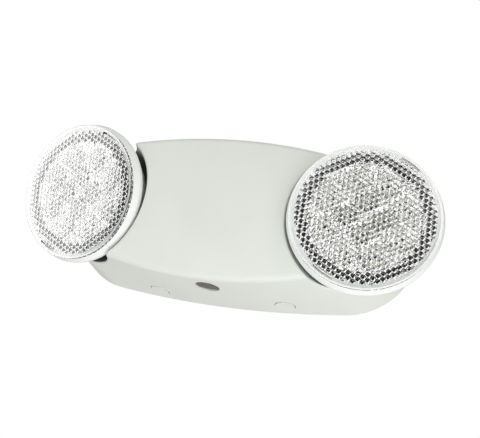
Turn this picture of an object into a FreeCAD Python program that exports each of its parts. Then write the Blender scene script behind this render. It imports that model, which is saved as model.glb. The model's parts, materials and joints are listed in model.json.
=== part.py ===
import FreeCAD, Part
import os, math

# Wall-mounted twin-head emergency light: oval moulded housing, two ball-shaped lamp heads
# nesting in spherical scoops at its ends, test button and release tabs underneath.
# Frame: origin on the wall at the centre of the back, +X right seen from the front,
# +Z up, the front faces -Y. All sizes in millimetres.

V = FreeCAD.Vector

# Lamp head, in its own frame: w runs from the ball centre towards the lens
ball_radius = 49.2
ball_wall = 2.2
seat_gap = 0.3
band_step = 2.86
band_depth = 5.2
band_rear = 8.8
rim_step = 1.1
rim_wide = 2.0
lens_inset = 0.3
lens_front = 2.2
lens_thick = 2.0
lens_skirt_deep = 3.0
lens_skirt_wall = 1.6
skirt_end_gap = 0.4
flange_wide = 1.6
flange_high = 1.2
lens_edge_round = 0.8
skirt_gap = 0.2
slit_angle = 60.0
slit_opposite_angle = 184.0
slit_span_angle = 18.0
slit_inset = 3.1
slit_width = 1.8
slit_over = 2.0
pocket_deep = 4.0
band_radius = ball_radius + band_step
rim_outer = ball_radius + rim_step
rim_inner = rim_outer - rim_wide
lens_radius = rim_outer - lens_inset
slit_radius = lens_radius - slit_inset
flange_inner = rim_inner - lens_skirt_wall - flange_wide

# Lamp head socket: a spherical scoop around the point the head turns about
head_x = 107.4
socket_gap = 5.1
socket_wall = 2.2
pole_clear = 10.2
seat_inner = 11.0
seat_outer = 14.0
socket_radius = ball_radius + socket_gap
socket_back = socket_radius + socket_wall
head_depth = socket_back + pole_clear

# Housing outline, at the wall and at the front crease: the scoops break out above and below
end_reach = 22.3
length_draft = 4.0
scoop_over = 1.6
height_draft = 3.0
long_arc_back = 740.7
long_arc_crease = 357.5
front_reach = 1.6
vault_rise = 7.1
crease_round = 5.0
socket_round = 1.2
wall = 2.5
overshoot = 8.0
half_length_crease = head_x + end_reach
half_length_back = half_length_crease + length_draft
half_height_crease = socket_radius - scoop_over
half_height_back = half_height_crease + height_draft
front_depth = head_depth + front_reach
crease_depth = front_depth - vault_rise

# Optics inside the head
board_gap = 0.6
board_thick = 1.6
board_front = -12.4
reflector_front = -3.6
reflector_wall = 0.8
outer_cups = 8
outer_cup_radius = 9.3
outer_cup_circle = 27.0
outer_cup_angle = 22.5
inner_cup_angle = 0.0
inner_cups = 4
inner_cup_radius = 7.2
inner_cup_circle = 11.5
cup_foot_radius = 3.4
reflector_margin = 1.7
led_size = 3.5
led_high = 0.7
post_radius = 3.6
post_inset = 3.5
post_angle = 45.0
screw_head_radius = 2.6
screw_head_high = 1.4

# Swivel: the fixed stem goes through a slot in the ball, a saddle turns on the stem
stem_radius = 5.0
stem_bore = 3.2
running_gap = 0.05
tongue_half_width = 7.3
tongue_half_length = 6.5
slide_gap = 0.2
saddle_radius = 13.0
saddle_thick = 2.2
tilt_max_angle = 28.0
spring_high = 3.2
spring_outer = 9.0
spring_sheet = 0.8
washer_gap = 0.2
nut_flats = 14.0
nut_high = 3.0
thread_end = 1.0
nut_seat = 1.8
boss_wall = 2.5

# Aim of the heads as stored: angle from the front normal, and direction seen from the front
left_tilt_angle = 15.79
left_turn_angle = -132.36
right_tilt_angle = 12.12
right_turn_angle = 1.28

# Back plate
plate_thick = 2.5
plate_gap = 0.4
rim_high = 5.5
rim_wall = 1.8
entry_radius = 11.1
entry_z = -18.0
box_screw_spacing = 88.9
box_screw_radius = 2.3
keyhole_x = 70.0
keyhole_z = 24.0
keyhole_head = 4.6
keyhole_neck = 2.3
keyhole_rise = 9.0

# Release tabs in the bottom wall and hooks at the top
tab_x = 48.8
tab_depth = 15.0
tab_radius = 7.0
tab_gap = 0.5
tab_arm_half_width = 5.5
tab_arm_thick = 1.8
tab_proud = 0.5
hook_x = 46.0
hook_half_width = 6.0
hook_depth = 9.0
hook_catch = 1.1

# Test button, spring and switch
button_x = 0.0
button_setback = 17.2
button_radius = 8.4
button_gap = 0.25
button_travel = 1.5
button_recess = 0.3
flange_extra = 1.3
flange_clear = 0.1
flange_thick = 1.4
guide_wall = 1.6
guide_high = 4.0
plunger_radius = 3.0
boot_low_radius = 6.4
boot_high_radius = 4.8
boot_wall = 0.5
boot_rim = 1.2

# Circuit board and what is on it
pcb_half_x = 44.0
pcb_depth_back = 6.0
pcb_front_gap = 5.2
pcb_rise = 16.3
pcb_thick = 1.6
shelf_x = 34.0
shelf_wide = 7.0
shelf_thick = 3.0
switch_side = 6.2
switch_high = 3.8
actuator_radius = 1.75
actuator_high = 0.8
actuator_clear = 0.05
plug_high = 7.0
lead_depth = 38.0
lead_shift = 6.0
lead_spacing = 4.0
lead_radius = 0.8
lead_bend = 6.0
led_dome_radius = 1.5
led_dome_high = 3.6
led_dome_x = 7.6
cap_radius = 5.0
cap_high = 14.0
small_cap_radius = 4.0
small_cap_high = 11.0
cap_round = 0.8
cap_front_gap = 2.0
relay_x = 3.0
relay_long = 18.0
relay_deep = 14.0
relay_high = 11.0
relay_front_gap = 4.0
chip_inset = 18.5
chip_long = 11.0
chip_deep = 6.0
chip_high = 2.4
plug_half = 4.5
plug_half_deep = 4.0
header_long = 12.0
header_deep = 7.0
header_wall = 1.0
header_back_gap = 2.0
terminals = 3
terminal_pitch = 10.0
terminal_deep = 12.0
terminal_high = 9.0
terminal_back_gap = 2.0
terminal_screw_radius = 2.2
terminal_screw_high = 2.6
terminal_screw_deep = 4.0
terminal_gap = 0.2
terminal_mouth = 5.6
terminal_mouth_high = 3.5

# Battery, strap and transformer
cell_radius = 11.25
cell_long = 43.0
cell_cols = 3
cell_rows = 2
cell_wrap = 0.25
pack_x = -17.0
pack_top_gap = 8.95
pack_depth = 7.0
tray_rib = 1.8
tray_rib_high = 9.0
strap_wide = 12.0
strap_thick = 1.2
strap_foot = 10.0
strap_gap = 0.3
strap_boss_high = 2.0
strap_boss_inset = 0.6
lamination_x = 30.0
lamination_z = 34.0
lamination_deep = 12.0
bobbin_deep = 24.0
yoke_high = 6.0
window_gap = 0.8
winding_gap = 0.3
trafo_foot = 2.0
trafo_foot_inset = 4.0
trafo_gap = 0.5
trafo_z = 6.0

# Derived values that several pieces share
vault_radius = (half_height_crease ** 2 + (front_depth - crease_depth) ** 2) / (2 * (front_depth - crease_depth))
seat_radius = ball_radius + seat_gap
ball_inner = ball_radius - ball_wall
saddle_outer = ball_inner - seat_gap
saddle_inner = saddle_outer - saddle_thick
stem_front = saddle_inner - spring_high - nut_high - thread_end
pole_depth = head_depth - socket_back
nut_face_depth = pole_depth - nut_seat
board_radius = flange_inner - board_gap
post_circle = board_radius - post_inset
button_depth = crease_depth - button_setback
pcb_depth_front = crease_depth - pcb_front_gap
pcb_top = pcb_rise - half_height_crease
pack_half_x = cell_cols * cell_radius + cell_wrap
pack_half_z = cell_rows * cell_radius + cell_wrap
pack_z = half_height_crease - wall - pack_top_gap - pack_half_z
trafo_x = pack_x + pack_half_x + strap_gap + strap_thick + strap_foot + trafo_gap + lamination_x / 2
lead_x = pack_x - (cell_cols - 1) * cell_radius
terminal_depth = pcb_depth_back + terminal_back_gap + terminal_deep / 2


def box(x0, x1, y0, y1, z0, z1):
    """Box between opposite corners, in any order."""
    lo = [min(x0, x1), min(y0, y1), min(z0, z1)]
    hi = [max(x0, x1), max(y0, y1), max(z0, z1)]
    return Part.makeBox(hi[0] - lo[0], hi[1] - lo[1], hi[2] - lo[2], V(*lo))


def cyl(r, p, d, h):
    """Cylinder of radius r from point p along direction d for length h."""
    return Part.makeCylinder(r, h, V(*p), V(*d))


def arc(a, b, c):
    """Edge through three points."""
    return Part.Arc(V(*a), V(*b), V(*c)).toShape()


def revolve(points, bulges=()):
    """Solid of revolution about the w axis from (radius, w) points; bulges are {segment: mid point}."""
    bulges = dict(bulges)
    edges = []
    n = len(points)
    for i in range(n):
        a, b = points[i], points[(i + 1) % n]
        if abs(a[0] - b[0]) < 1e-9 and abs(a[1] - b[1]) < 1e-9:
            continue
        if i in bulges:
            m = bulges[i]
            edges.append(arc((a[0], -a[1], 0), (m[0], -m[1], 0), (b[0], -b[1], 0)))
        else:
            edges.append(Part.LineSegment(V(a[0], -a[1], 0), V(b[0], -b[1], 0)).toShape())
    face = Part.Face(Part.Wire(edges))
    return face.revolve(V(0, 0, 0), V(0, 1, 0), 360)


def outline_sizes(depth, inset=0.0):
    """Half length, half height and long arc radius of the housing section at a depth."""
    k = depth / crease_depth
    a = half_length_back + (half_length_crease - half_length_back) * k
    b = half_height_back + (half_height_crease - half_height_back) * k
    curve = 1 / long_arc_back + (1 / long_arc_crease - 1 / long_arc_back) * k
    return a - inset, b - inset, 1 / curve - inset


def outline_wire(depth, inset=0.0):
    """Closed outline of two long arcs and two tangent end arcs at a depth."""
    a, b, r = outline_sizes(depth, inset)
    e = (r * r - a * a - (r - b) ** 2) / (2 * (r - a))
    ux, uz = a - e, r - b
    n = math.hypot(ux, uz)
    tx, tz = r * ux / n, (b - r) + r * uz / n
    y = -depth
    edges = [arc((-tx, y, tz), (0, y, b), (tx, y, tz)),
             arc((tx, y, tz), (a, y, 0), (tx, y, -tz)),
             arc((tx, y, -tz), (0, y, -b), (-tx, y, -tz)),
             arc((-tx, y, -tz), (-a, y, 0), (-tx, y, tz))]
    return Part.Wire(edges)


def housing_block(inset):
    """Drafted oval block with the vaulted front, shrunk by inset on every side but the wall."""
    far = front_depth + overshoot
    block = Part.makeLoft([outline_wire(0, inset), outline_wire(far, inset)], True, True)
    r = vault_radius - inset
    length = 2 * (half_length_back + overshoot)
    vault = cyl(r, (-length / 2, vault_radius - front_depth, 0), (1, 0, 0), length)
    return block.common(vault)


def half_height_at(depth, x, inset=0.0):
    """Half height of the housing section at a depth and an x."""
    a, b, r = outline_sizes(depth, inset)
    return b - r + math.sqrt(r * r - x * x)


def ball_at(side, radius):
    """Sphere around a head's turning point; side is -1 for the left head and 1 for the right."""
    return Part.makeSphere(radius, V(side * head_x, -head_depth, 0), V(0, 1, 0))


def hexagon(flats, p, d, high, bore):
    """Hexagon nut with a bore."""
    r = flats / math.sqrt(3)
    pts = [V(r * math.cos(math.radians(60 * i)), r * math.sin(math.radians(60 * i)), 0) for i in range(7)]
    nut = Part.Face(Part.makePolygon(pts)).extrude(V(0, 0, high))
    nut = nut.cut(Part.makeCylinder(bore, high + 2, V(0, 0, -1)))
    turn = FreeCAD.Rotation(V(0, 0, 1), V(*d))
    nut.Placement = FreeCAD.Placement(V(*p), turn)
    return nut


def crease_edges(solid):
    """Edges of the housing block where the vaulted front meets the sides."""
    found = []
    for e in solid.Edges:
        mid = e.valueAt((e.FirstParameter + e.LastParameter) / 2)
        if mid.y < -crease_depth * 0.5:
            found.append(e)
    return found


def socket_edges(solid):
    """Edges where the scooped sockets meet the outside of the block."""
    found = []
    for e in solid.Edges:
        near = []
        for k in (0.1, 0.5, 0.9):
            p = e.valueAt(e.FirstParameter + (e.LastParameter - e.FirstParameter) * k)
            reach = math.sqrt((abs(p.x) - head_x) ** 2 + (p.y + head_depth) ** 2 + p.z ** 2)
            near.append(abs(reach - socket_radius) < 0.02)
        if all(near):
            found.append(e)
    return found


def front_cover():
    """Moulded front: drafted shell, scooped sockets, stem holes, button guide and openings below."""
    outer = housing_block(0)
    outer = outer.makeFillet(crease_round, crease_edges(outer))
    inner = housing_block(wall)
    lip = []
    for s in (-1, 1):
        outer = outer.cut(ball_at(s, socket_radius))
    outer = outer.makeFillet(socket_round, socket_edges(outer))
    for s in (-1, 1):
        inner = inner.cut(ball_at(s, socket_back))
        boss = cyl(nut_flats / 2 + boss_wall, (s * head_x, -nut_face_depth, 0), (0, -1, 0), socket_back)
        inner = inner.cut(boss.cut(ball_at(s, socket_radius)))
        ring = cyl(seat_outer, (s * head_x, -pole_depth, 0), (0, -1, 0), 12)
        ring = ring.cut(cyl(seat_inner, (s * head_x, -pole_depth + 1, 0), (0, -1, 0), 14))
        lip.append(ring.cut(ball_at(s, seat_radius)).common(ball_at(s, socket_radius + socket_wall / 2)))
    shell = outer.cut(inner)
    for ring in lip:
        shell = shell.fuse(ring)
    for s in (-1, 1):
        shell = shell.cut(cyl(stem_radius + running_gap, (s * head_x, 0, 0), (0, -1, 0), head_depth / 2))
    # Button guide: a collar inside the bottom wall
    zb = half_height_at(button_depth, button_x)
    zi = zb - wall
    guide_in = button_radius + flange_extra + button_gap
    collar = cyl(guide_in + guide_wall, (button_x, -button_depth, -zi - 0.6), (0, 0, 1), guide_high + 0.6)
    collar = collar.cut(cyl(guide_in, (button_x, -button_depth, -zi - 1), (0, 0, 1), guide_high + 2))
    shell = shell.fuse(collar)
    shell = shell.cut(cyl(button_radius + button_gap, (button_x, -button_depth, -zb - 2), (0, 0, 1), wall + 4))
    for s in (-1, 1):
        zt = half_height_at(tab_depth, tab_x)
        shell = shell.cut(cyl(tab_radius + tab_gap, (s * tab_x, -tab_depth, -zt - 3), (0, 0, 1), wall + 5))
        zh = half_height_at(hook_depth, hook_x, wall)
        shell = shell.cut(box(s * hook_x - hook_half_width - 0.5, s * hook_x + hook_half_width + 0.5,
                              -hook_depth - 2.4, -hook_depth + 1.2, zh - 1, zh + hook_catch + 0.3))
    return shell.removeSplitter()


def back_plate():
    """Moulded back: plate with rim, entry hole, screw holes, keyholes, trays, shelves, hooks and tabs."""
    inset = wall + plate_gap
    plate = Part.Face(outline_wire(0, inset)).extrude(V(0, -plate_thick, 0))
    ring_out = Part.Face(outline_wire(0, inset + 0.8)).extrude(V(0, -plate_thick - rim_high, 0))
    ring_in = Part.Face(outline_wire(0, inset + 0.8 + rim_wall)).extrude(V(0, -plate_thick - rim_high, 0))
    plate = plate.fuse(ring_out.cut(ring_in))
    # Battery tray ribs
    for sx in (-1, 1):
        x = pack_x + sx * (pack_half_x + strap_gap)
        plate = plate.fuse(box(x, x + sx * tray_rib, -plate_thick, -plate_thick - tray_rib_high,
                               pack_z - pack_half_z, pack_z - strap_wide / 2 - 2))
    for sz in (-1, 1):
        z = pack_z + sz * (pack_half_z + strap_gap)
        plate = plate.fuse(box(pack_x - pack_half_x * 0.8, pack_x + pack_half_x * 0.8, -plate_thick,
                               -plate_thick - tray_rib_high, z, z + sz * tray_rib))
    for z in (pack_z - pack_half_z * 0.6, pack_z + pack_half_z * 0.6):
        plate = plate.fuse(box(pack_x - pack_half_x, pack_x + pack_half_x, -plate_thick, -pack_depth,
                               z - tray_rib, z + tray_rib))
    # Strap bosses
    for sx in (-1, 1):
        x = pack_x + sx * (pack_half_x + strap_gap + strap_thick + strap_foot / 2)
        plate = plate.fuse(cyl(strap_foot / 2 - strap_boss_inset, (x, -plate_thick, pack_z), (0, -1, 0), strap_boss_high))
    # Board shelves with gussets below them
    top = pcb_top - pcb_thick
    for sx in (-1, 1):
        x0, x1 = sx * shelf_x - shelf_wide / 2, sx * shelf_x + shelf_wide / 2
        plate = plate.fuse(box(x0, x1, -plate_thick, -pcb_depth_front, top - shelf_thick, top))
        rib = Part.Face(Part.makePolygon([V(sx * shelf_x - tray_rib / 2, -plate_thick, top - shelf_thick),
                                          V(sx * shelf_x - tray_rib / 2, -pcb_depth_front, top - shelf_thick),
                                          V(sx * shelf_x - tray_rib / 2, -plate_thick, top - shelf_thick - 8),
                                          V(sx * shelf_x - tray_rib / 2, -plate_thick, top - shelf_thick)]))
        plate = plate.fuse(rib.extrude(V(tray_rib, 0, 0)))
        plate = plate.fuse(box(x0, x1, -plate_thick, -pcb_depth_back + 0.3, top, pcb_top + 2))
    # Transformer feet
    for sz in (-1, 1):
        z = trafo_z + sz * (lamination_z / 2 - trafo_foot_inset)
        plate = plate.fuse(box(trafo_x - lamination_x / 2, trafo_x + lamination_x / 2, -plate_thick,
                               -trafo_back(), z - trafo_foot, z + trafo_foot))
    # Release tabs: spring arms along the bottom wall with a round pad in the cover's opening
    for s in (-1, 1):
        zi = half_height_at(tab_depth, tab_x, wall) - 1.2
        x = s * tab_x
        arm = box(x - tab_arm_half_width, x + tab_arm_half_width, -plate_thick + 1, -tab_depth - tab_radius,
                  -zi, -zi + tab_arm_thick)
        pad = cyl(tab_radius, (x, -tab_depth, -half_height_at(tab_depth, tab_x) - 2), (0, 0, 1), wall + 4)
        skin = housing_block(-tab_proud)
        pad = pad.common(skin).common(box(x - 2 * tab_radius, x + 2 * tab_radius, 0, -4 * tab_radius, -2 * half_height_back, -zi + tab_arm_thick))
        plate = plate.fuse(arm).fuse(pad)
        # Hooks that catch in the top wall
        zh = half_height_at(hook_depth, hook_x, wall)
        xh = s * hook_x
        arm = box(xh - hook_half_width, xh + hook_half_width, -plate_thick + 1, -hook_depth - 2,
                  zh - 0.5 - tab_arm_thick, zh - 0.5)
        catch = box(xh - hook_half_width, xh + hook_half_width, -hook_depth, -hook_depth - 2,
                    zh - 0.6, zh + hook_catch)
        plate = plate.fuse(arm).fuse(catch)
    # Openings
    plate = plate.cut(cyl(entry_radius, (0, 1, entry_z), (0, -1, 0), plate_thick + 2))
    for s in (-1, 1):
        plate = plate.cut(cyl(box_screw_radius, (s * box_screw_spacing / 2, 1, entry_z), (0, -1, 0), plate_thick + 2))
        for z in (-keyhole_z, keyhole_z):
            x = s * keyhole_x
            plate = plate.cut(cyl(keyhole_head, (x, 1, z), (0, -1, 0), plate_thick + 2))
            plate = plate.cut(cyl(keyhole_neck, (x, 1, z + keyhole_rise), (0, -1, 0), plate_thick + 2))
            plate = plate.cut(box(x - keyhole_neck, x + keyhole_neck, 1, -plate_thick - 1, z, z + keyhole_rise))
    return plate.removeSplitter()


def trafo_back():
    """Depth of the transformer core's back face."""
    return plate_thick + (bobbin_deep - lamination_deep) / 2 + 2 * winding_gap


def battery_pack():
    """Shrink-wrapped pack of round cells standing away from the wall."""
    pack = None
    for i in range(cell_cols):
        for j in range(cell_rows):
            x = pack_x + (i - (cell_cols - 1) / 2) * 2 * cell_radius
            z = pack_z + (j - (cell_rows - 1) / 2) * 2 * cell_radius
            c = cyl(cell_radius + cell_wrap, (x, -pack_depth, z), (0, -1, 0), cell_long)
            pack = c if pack is None else pack.fuse(c)
    w = (cell_cols - 1) * cell_radius
    h = (cell_rows - 1) * cell_radius
    core = box(pack_x - w, pack_x + w, -pack_depth, -pack_depth - cell_long,
               pack_z - h - cell_radius * 0.7, pack_z + h + cell_radius * 0.7)
    side = box(pack_x - w - cell_radius * 0.7, pack_x + w + cell_radius * 0.7, -pack_depth,
               -pack_depth - cell_long, pack_z - h, pack_z + h)
    return pack.fuse(core).fuse(side).removeSplitter()


def battery_strap():
    """Sheet strap over the pack with two screwed feet."""
    x0, x1 = pack_x - pack_half_x - strap_gap, pack_x + pack_half_x + strap_gap
    front = pack_depth + cell_long + strap_gap
    z0, z1 = pack_z - strap_wide / 2, pack_z + strap_wide / 2
    foot = plate_thick + strap_boss_high
    t = strap_thick
    strap = box(x0 - t, x1 + t, -front, -front - t, z0, z1)
    for x, s in ((x0, -1), (x1, 1)):
        strap = strap.fuse(box(x, x + s * t, -foot, -front - t, z0, z1))
        strap = strap.fuse(box(x, x + s * (t + strap_foot), -foot, -foot - t, z0, z1))
    return strap.removeSplitter()


def strap_screws():
    """Pan-head screws through the strap feet."""
    foot = plate_thick + strap_boss_high + strap_thick
    out = []
    for s in (-1, 1):
        x = pack_x + s * (pack_half_x + strap_gap + strap_thick + strap_foot / 2)
        out.append(cyl(screw_head_radius + 0.4, (x, -foot, pack_z), (0, -1, 0), screw_head_high + 0.6))
    return out


def circuit_board():
    """Charger board lying level above the test button."""
    b = box(-pcb_half_x, pcb_half_x, -pcb_depth_back, -pcb_depth_front, pcb_top - pcb_thick, pcb_top)
    return b.makeFillet(2.0, [e for e in b.Edges if abs(e.Vertexes[0].Z - e.Vertexes[1].Z) > 1])


def board_parts():
    """Capacitors, relay, chip and connectors on the board's upper side."""
    z = pcb_top
    out = []
    middle = -shelf_x + shelf_wide / 2 + cap_radius
    for x, r, h in ((middle, cap_radius, cap_high), (middle + 2 * cap_radius + cap_front_gap, small_cap_radius, small_cap_high),
                    (pcb_half_x - 2 * small_cap_radius, small_cap_radius, small_cap_high)):
        c = cyl(r, (x, -pcb_depth_front + cap_front_gap + r, z), (0, 0, 1), h)
        out.append(c.makeFillet(cap_round, [e for e in c.Edges if e.BoundBox.ZMin > z + h - 0.01]))
    y = -pcb_depth_front + relay_front_gap
    out.append(box(relay_x - relay_long / 2, relay_x + relay_long / 2, y, y + relay_deep, z, z + relay_high))
    y = y + (relay_deep - chip_deep) / 2
    out.append(box(pcb_half_x - chip_inset - chip_long / 2, pcb_half_x - chip_inset + chip_long / 2, y + chip_deep, y + 2 * chip_deep, z, z + chip_high))
    out.append(box(lead_x - plug_half, lead_x + plug_half, -lead_depth + plug_half_deep, -lead_depth - plug_half_deep,
                   z, z + plug_high))
    x1, y1 = pcb_half_x - 2 * cap_round - header_long / 3, -pcb_depth_back - header_back_gap
    header = box(x1 - header_long, x1, y1, y1 - header_deep, z, z + plug_high)
    out.append(header.cut(box(x1 - header_long + header_wall, x1 - header_wall, y1 - header_wall,
                              y1 - header_deep + header_wall, z + 2 * header_wall, z + plug_high + 1)))
    return out


def terminal_at(i):
    """Middle of one way of the terminal block."""
    return (i - (terminals - 1) / 2) * terminal_pitch


def terminal_block():
    """Mains terminal block at the back of the board."""
    z, y = pcb_top, -terminal_depth
    half = terminals * terminal_pitch / 2
    b = box(-half, half, y - terminal_deep / 2, y + terminal_deep / 2, z, z + terminal_high)
    for i in range(terminals):
        x = terminal_at(i)
        b = b.cut(cyl(terminal_screw_radius + terminal_gap, (x, y, z + terminal_high - terminal_screw_deep), (0, 0, 1),
                      terminal_screw_deep + 1))
        b = b.cut(box(x - terminal_mouth / 2, x + terminal_mouth / 2, y + terminal_deep / 6, y + terminal_deep,
                      z + terminal_gap * 5, z + terminal_gap * 5 + terminal_mouth_high))
    return b


def terminal_screws():
    """Clamp screws in the terminal block."""
    low = pcb_top + terminal_high - terminal_screw_deep
    return [cyl(terminal_screw_radius, (terminal_at(i), -terminal_depth, low), (0, 0, 1), terminal_screw_high)
            for i in range(terminals)]


def transformer_core():
    """Laminated core with two windows' worth of bobbin through it."""
    d = trafo_back()
    core = box(trafo_x - lamination_x / 2, trafo_x + lamination_x / 2, -d, -d - lamination_deep,
               trafo_z - lamination_z / 2, trafo_z + lamination_z / 2)
    w = lamination_x / 12 + window_gap
    for s in (-1, 1):
        x = trafo_x + s * lamination_x / 4
        core = core.cut(box(x - w, x + w, 0, -d - lamination_deep - 1,
                            trafo_z - lamination_z / 2 + yoke_high, trafo_z + lamination_z / 2 - yoke_high))
    return core


def transformer_winding():
    """Wound bobbin around the middle leg."""
    d = trafo_back() - (bobbin_deep - lamination_deep) / 2
    x = lamination_x / 4 + lamination_x / 12 + window_gap - winding_gap
    half_z = lamination_z / 2 - yoke_high - winding_gap
    coil = box(trafo_x - x, trafo_x + x, -d, -d - bobbin_deep, trafo_z - half_z, trafo_z + half_z)
    leg = lamination_x / 4 - lamination_x / 12 - window_gap + winding_gap
    dc = trafo_back()
    coil = coil.cut(box(trafo_x - leg, trafo_x + leg, -dc + winding_gap, -dc - lamination_deep - winding_gap,
                        trafo_z - half_z - 1, trafo_z + half_z + 1))
    return coil


def battery_leads():
    """Two leads from the underside of the pack down to the plug on the board."""
    z0 = pack_z - pack_half_z
    z1 = pcb_top + plug_high
    y0, y1 = -lead_depth - lead_shift, -lead_depth
    a, b = z0 - (z0 - z1) * 0.33, z0 - (z0 - z1) * 0.67
    out = []
    for s in (-0.5, 0.5):
        x = lead_x + s * lead_spacing
        path = path_with_arcs([V(x, y0, z0), V(x, y0, a), V(x, y1, b), V(x, y1, z1)], lead_bend)
        out.append(tube(path, lead_radius))
    return out


def path_with_arcs(points, radius):
    """Wire of straight runs joined by tangent arcs of one radius."""
    edges = []
    start = points[0]
    for i in range(1, len(points) - 1):
        a, b, c = points[i - 1], points[i], points[i + 1]
        u, w = (a - b).normalize(), (c - b).normalize()
        half = u.getAngle(w) / 2
        t = radius / math.tan(half)
        p, q = b + u * t, b + w * t
        bis = (u + w).normalize()
        m = b + bis * (radius / math.sin(half) - radius)
        edges.append(Part.LineSegment(start, p).toShape())
        edges.append(Part.Arc(p, m, q).toShape())
        start = q
    edges.append(Part.LineSegment(start, points[-1]).toShape())
    return Part.Wire(edges)


def tube(path, r):
    """Round tube along a path of lines and arcs."""
    first = path.Edges[0]
    p = first.valueAt(first.FirstParameter)
    d = first.tangentAt(first.FirstParameter)
    ring = Part.Wire([Part.Circle(p, d, r).toShape()])
    return path.makePipeShell([ring], True, True)


def test_switch():
    """Tactile switch under the board."""
    z = pcb_top - pcb_thick
    h = switch_side / 2
    body = box(button_x - h, button_x + h, -button_depth - h, -button_depth + h, z, z - switch_high)
    tip = button_top() + button_travel + actuator_clear
    return body.fuse(cyl(actuator_radius, (button_x, -button_depth, tip), (0, 0, 1), z - tip - 1))


def button_top():
    """Height of the plunger's top at rest: at full travel it meets the switch's actuator."""
    return pcb_top - pcb_thick - switch_high - actuator_high - button_travel - actuator_clear


def indicator_led():
    """Small round indicator under the board, above the clear button."""
    z = pcb_top - pcb_thick
    r = led_dome_radius
    x = button_x + led_dome_x
    stem = cyl(r, (x, -button_depth, z), (0, 0, -1), led_dome_high - r)
    return stem.fuse(Part.makeSphere(r, V(x, -button_depth, z - led_dome_high + r)))


def button_face():
    """Outer height of the bottom wall at the button."""
    return half_height_at(button_depth, button_x)


def flange_low():
    """Underside of the button's flange, just clear of the sloping bottom wall."""
    reach = button_radius + flange_extra
    slope = (half_height_back - half_height_crease) / crease_depth
    return -(button_face() - wall) + slope * reach + flange_clear


def test_button():
    """Round smoked cap with a flange inside the wall and a plunger up to the switch."""
    zb = button_face()
    zi = zb - wall
    low = -zb + button_recess
    cap = cyl(button_radius, (button_x, -button_depth, low), (0, 0, 1), flange_low() + flange_thick - low)
    cap = cap.makeFillet(0.8, [e for e in cap.Edges if e.BoundBox.ZMax < low + 0.01])
    flange = cyl(button_radius + flange_extra, (button_x, -button_depth, flange_low()), (0, 0, 1), flange_thick)
    top = button_top()
    plunger = cyl(plunger_radius, (button_x, -button_depth, -zi), (0, 0, 1), top + zi)
    body = cap.fuse(flange).fuse(plunger)
    return body.removeSplitter()


def button_spring():
    """Soft dome spring between the button flange and the board: a rubber cone with two flat rims."""
    low = flange_low() + flange_thick
    high = pcb_top - pcb_thick
    r0, r1, t = boot_low_radius, boot_high_radius, boot_wall
    pts = [(r0, low), (r0 + boot_rim, low), (r0 + boot_rim, low + t), (r0 + t, low + t), (r1 + t, high - t),
           (r1 + boot_rim, high - t), (r1 + boot_rim, high), (r1, high), (r1, high - t), (r0, low + t)]
    face = Part.Face(Part.makePolygon([V(x, 0, z) for x, z in pts + pts[:1]]))
    boot = face.revolve(V(0, 0, 0), V(0, 0, 1), 360)
    boot.translate(V(button_x, -button_depth, 0))
    return boot


def place_head(shape, tilt, turn, side):
    """Turn a shape from the head's own frame to its stored aim and move it to its socket."""
    t = math.radians(turn)
    axis = V(math.sin(t), 0, -math.cos(t))
    placed = shape.copy()
    placed.rotate(V(0, 0, 0), axis, -tilt)
    placed.translate(V(side * head_x, -head_depth, 0))
    return placed


def slot_block(turn, half_width, near, far, inner, outer):
    """Prism along the head axis, running from near to far in the direction it tilts to."""
    b = box(near, far, -inner, outer, -half_width, half_width)
    b = b.copy()
    b.rotate(V(0, 0, 0), V(0, 1, 0), -turn)
    return b


def on_ball(radius, behind):
    """Point (radius, w) of a sphere's section at a distance behind its centre."""
    return (math.sqrt(radius ** 2 - behind ** 2), -behind)


def head_housing(turn):
    """Ball-shaped head shell with its wider band, lens seat, board posts and tilt slot."""
    mouth = lens_front - lens_thick
    ledge = mouth - lens_skirt_deep - skirt_end_gap
    band_mid = (band_depth + band_rear) / 2
    pts = [(rim_inner, mouth), (rim_outer, mouth), on_ball(band_radius, band_depth),
           on_ball(band_radius, band_rear), on_ball(ball_radius, band_rear), (0, -ball_radius),
           (0, -ball_inner), on_ball(ball_inner, flange_high - ledge), (flange_inner, ledge - flange_high),
           (flange_inner, ledge), (rim_inner, ledge)]
    bul = {2: on_ball(band_radius, band_mid), 4: on_ball(ball_radius, ball_radius * 0.75),
           6: on_ball(ball_inner, ball_inner * 0.75)}
    shell = revolve(pts, bul)
    for i in range(4):
        t = math.radians(post_angle + 90 * i)
        x, z = post_circle * math.cos(t), post_circle * math.sin(t)
        post = cyl(post_radius, (x, -board_front + board_thick, z), (0, 1, 0), ball_radius)
        shell = shell.fuse(post.common(Part.makeSphere(ball_radius - 0.6)))
    near = -tongue_half_length - 1.0
    far = ball_radius * math.sin(math.radians(tilt_max_angle) + tongue_half_length / ball_radius) + 0.6
    slot = slot_block(turn, tongue_half_width + slide_gap, near, far, 0, ball_radius + 4)
    shell = shell.cut(slot.cut(Part.makeSphere(ball_inner - 8)))
    # Pockets behind the lens slits, for its snap hooks
    for first in (slit_angle, slit_angle + slit_opposite_angle):
        shell = shell.cut(arc_slot(first, ledge + slit_over, ledge - pocket_deep))
    return shell.removeSplitter()


def lens():
    """Clear front disc with a rounded edge, a skirt inside the mouth and two snap slits."""
    back = lens_front - lens_thick
    outer = rim_inner - skirt_gap
    inner = outer - lens_skirt_wall
    disc = revolve([(0, back), (0, lens_front), (lens_radius, lens_front), (lens_radius, back),
                    (outer, back), (outer, back - lens_skirt_deep), (inner, back - lens_skirt_deep), (inner, back)])
    edge = [e for e in disc.Edges if abs(e.BoundBox.YMin + lens_front) < 1e-6 and e.BoundBox.XMax > lens_radius - 0.01]
    disc = disc.makeFillet(lens_edge_round, edge)
    for first in (slit_angle, slit_angle + slit_opposite_angle):
        disc = disc.cut(arc_slot(first, lens_front + slit_over, back - lens_skirt_deep - slit_over))
    return disc


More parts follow.
